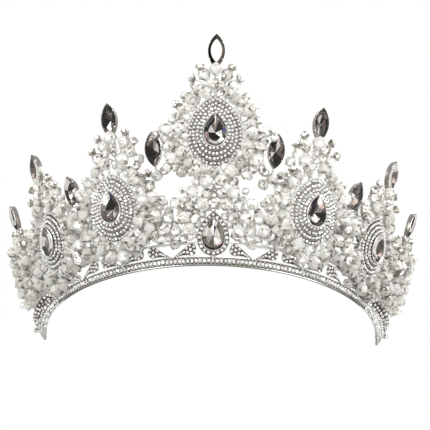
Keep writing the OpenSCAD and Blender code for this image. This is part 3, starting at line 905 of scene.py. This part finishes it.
def end_tip(word, side):
    """The pointed end of the band, ribbed with rows of small stones, and a cup beside it."""
    piece = Piece("end_leaf_" + word, "rhinestone", [PAINTED_SHADE_BED, SILVER, RHINE], "end_tip_" + word)
    place = low(side * BAND_ARC)
    outline = [(side * x * MM, y * MM) for x, y in (TIP if side > 0 else TIP[::-1])]
    loops = [lift(outline, -0.8 * MM), lift(outline, -0.1 * MM)]
    verts, faces, _ = loft(loops, close_first=True, close_last=True)
    # the front of the tip, between its stones, is painted shade
    piece.add(place, verts, faces, [1] * (len(faces) - 1) + [0])
    pitch = 1.45
    for row, reach in enumerate((8.6, 8.4, 6.2, 3.6)):
        up = (1.1 + row * 1.62) * MM
        for i in range(int(reach / pitch)):
            here = place @ shift(side * (0.8 + i * pitch) * MM, up, -0.1 * MM)
            verts, faces, _ = round_stone(1.42 * MM)
            seat = here @ turn("Z", rng.uniform(0, 45))
            # the tables are painted reflections, darker than on the leaves
            piece.add(seat, verts, faces, [2] * len(faces), table=rng.uniform(0.1, 0.7))
            ball(0.22 * MM, here @ shift(0.72 * MM, 0.8 * MM), piece, 1)
    cup = place @ shift(side * 5.6 * MM, 6 * MM, 0.6 * MM)
    verts, faces, _ = round_stone(2.4 * MM)
    piece.add(cup, verts, faces, [2] * len(faces), table=0.3)
    rows = ((0.6, -1.4), (1.35, -0.5), (1.5, 0.2), (1.3, 0.2), (1.2, -0.2))
    verts, faces, _ = loft([circle(r * MM, z * MM, 10) for r, z in rows], close_first=True, close_last=True)
    piece.add(cup, verts, faces, [1] * len(faces))
    piece.build()


def paint(node, mat):
    """Give a CAD mesh that stays in view one material."""
    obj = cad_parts[node]
    obj.data.materials.clear()
    obj.data.materials.append(mat)


for name, (k, side) in PANELS.items():
    medallion(name, k, side)
    beads(name, k, side)
    top = face(side * CREST_T[k], CREST_W[k], 0.4 * MM)
    navette_gem("crest_" + name, top)
    navette_cup("crest_cup_" + name, top)
drop()
band_strip()
band_row()
leaves()
for word, side in (("left", -1), ("right", 1)):
    end_tip(word, side)
    for i, kind in enumerate(("valley", "side", "end")):
        navette_gem(kind + "_" + word, side_place(i, side))
        navette_cup(kind + "_cup_" + word, side_place(i, side))
# the wires are the CAD's own meshes
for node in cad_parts:
    if node == "rear_wire" or node.startswith("wires_"):
        paint(node, SILVER)


# Studio: plain and soft -------------------------------------------------------
TENT_LOW, TENT_HIGH = 0.72, 0.88


def studio():
    """A plain white tent: soft light that fades a little towards the ground, on a white backdrop."""
    world = bpy.data.worlds.new("studio")
    bpy.context.scene.world = world
    world.use_nodes = True
    tree = world.node_tree
    tree.nodes.clear()
    new, link = tree.nodes.new, tree.links.new
    coord = new("ShaderNodeTexCoord")
    split = new("ShaderNodeSeparateXYZ")
    link(coord.outputs["Generated"], split.inputs["Vector"])
    height = new("ShaderNodeMapRange")
    height.inputs["From Min"].default_value = -1
    link(split.outputs["Z"], height.inputs["Value"])
    fade = new("ShaderNodeValToRGB")
    for element, (at, level) in zip(fade.color_ramp.elements, ((0, TENT_LOW), (1, TENT_HIGH))):
        element.position, element.color = at, (level, level * 0.98, level * 0.93, 1)
    link(height.outputs["Result"], fade.inputs["Fac"])
    path = new("ShaderNodeLightPath")
    backdrop = new("ShaderNodeMix")
    backdrop.data_type = "RGBA"
    backdrop.inputs["B"].default_value = (1, 1, 1, 1)
    link(path.outputs["Is Camera Ray"], backdrop.inputs["Factor"])
    link(fade.outputs["Color"], backdrop.inputs["A"])
    back = new("ShaderNodeBackground")
    link(backdrop.outputs["Result"], back.inputs["Color"])
    out = new("ShaderNodeOutputWorld")
    link(back.outputs["Background"], out.inputs["Surface"])


def area(name, spot, power):
    """A soft square light at spot, aimed at the middle of the tiara."""
    data = bpy.data.lights.new(name, "AREA")
    data.size, data.energy = 0.6, power
    lamp = bpy.data.objects.new(name, data)
    lamp.location = spot
    aim = Vector((0, 0, 40 * MM)) - Vector(spot)
    lamp.rotation_euler = aim.to_track_quat("-Z", "Y").to_euler()
    bpy.context.scene.collection.objects.link(lamp)


def floor():
    """A pale floor that is solid from above and clear from below."""
    mesh = bpy.data.meshes.new("floor")
    half, z = 1.5, -0.6 * MM
    corners = [(-half, -half, z), (half, -half, z), (half, half, z), (-half, half, z)]
    mesh.from_pydata(corners, [], [(0, 1, 2, 3)])
    mat, tree, shader = material("floor_pale", (0.93, 0.93, 0.93), Roughness=0.9)
    clear = tree.nodes.new("ShaderNodeBsdfTransparent")
    mix = tree.nodes.new("ShaderNodeMixShader")
    geo = tree.nodes.new("ShaderNodeNewGeometry")
    tree.links.new(geo.outputs["Backfacing"], mix.inputs["Fac"])
    tree.links.new(shader.outputs["BSDF"], mix.inputs[1])
    tree.links.new(clear.outputs["BSDF"], mix.inputs[2])
    tree.links.new(mix.outputs["Shader"], tree.nodes["Material Output"].inputs["Surface"])
    mesh.materials.append(mat)
    obj = bpy.data.objects.new("floor", mesh)
    bpy.context.scene.collection.objects.link(obj)
    obj.visible_glossy = False
    obj.visible_transmission = False


def camera():
    """The photograph's view: from the front, below the plane of the band."""
    elevation, azimuth, distance = radians(-23.8), radians(-0.25), 585 * MM
    home = Vector((0, RING_Y, 0))
    spot = home + distance * Vector((sin(azimuth) * cos(elevation), -cos(azimuth) * cos(elevation),
                                     sin(elevation)))
    data = bpy.data.cameras.new("camera")
    data.lens, data.sensor_width = 105.6, 36
    cam = bpy.data.objects.new("camera", data)
    cam.location = spot
    aim = (home - spot).to_track_quat("-Z", "Y").to_matrix().to_4x4()
    cam.rotation_euler = (aim @ turn("X", 5.7) @ turn("Y", -0.1) @ turn("Z", 0.9)).to_euler()
    bpy.context.scene.collection.objects.link(cam)
    bpy.context.scene.camera = cam


studio()
area("key", (-0.6, -0.7, 0.5), 4)
area("fill", (0.8, -0.5, 0.4), 5)
area("low", (0.1, -0.8, -0.75), 4)
area("rim", (0.1, 0.9, 0.6), 4)
floor()
camera()
bpy.context.scene.view_settings.view_transform = "Standard"
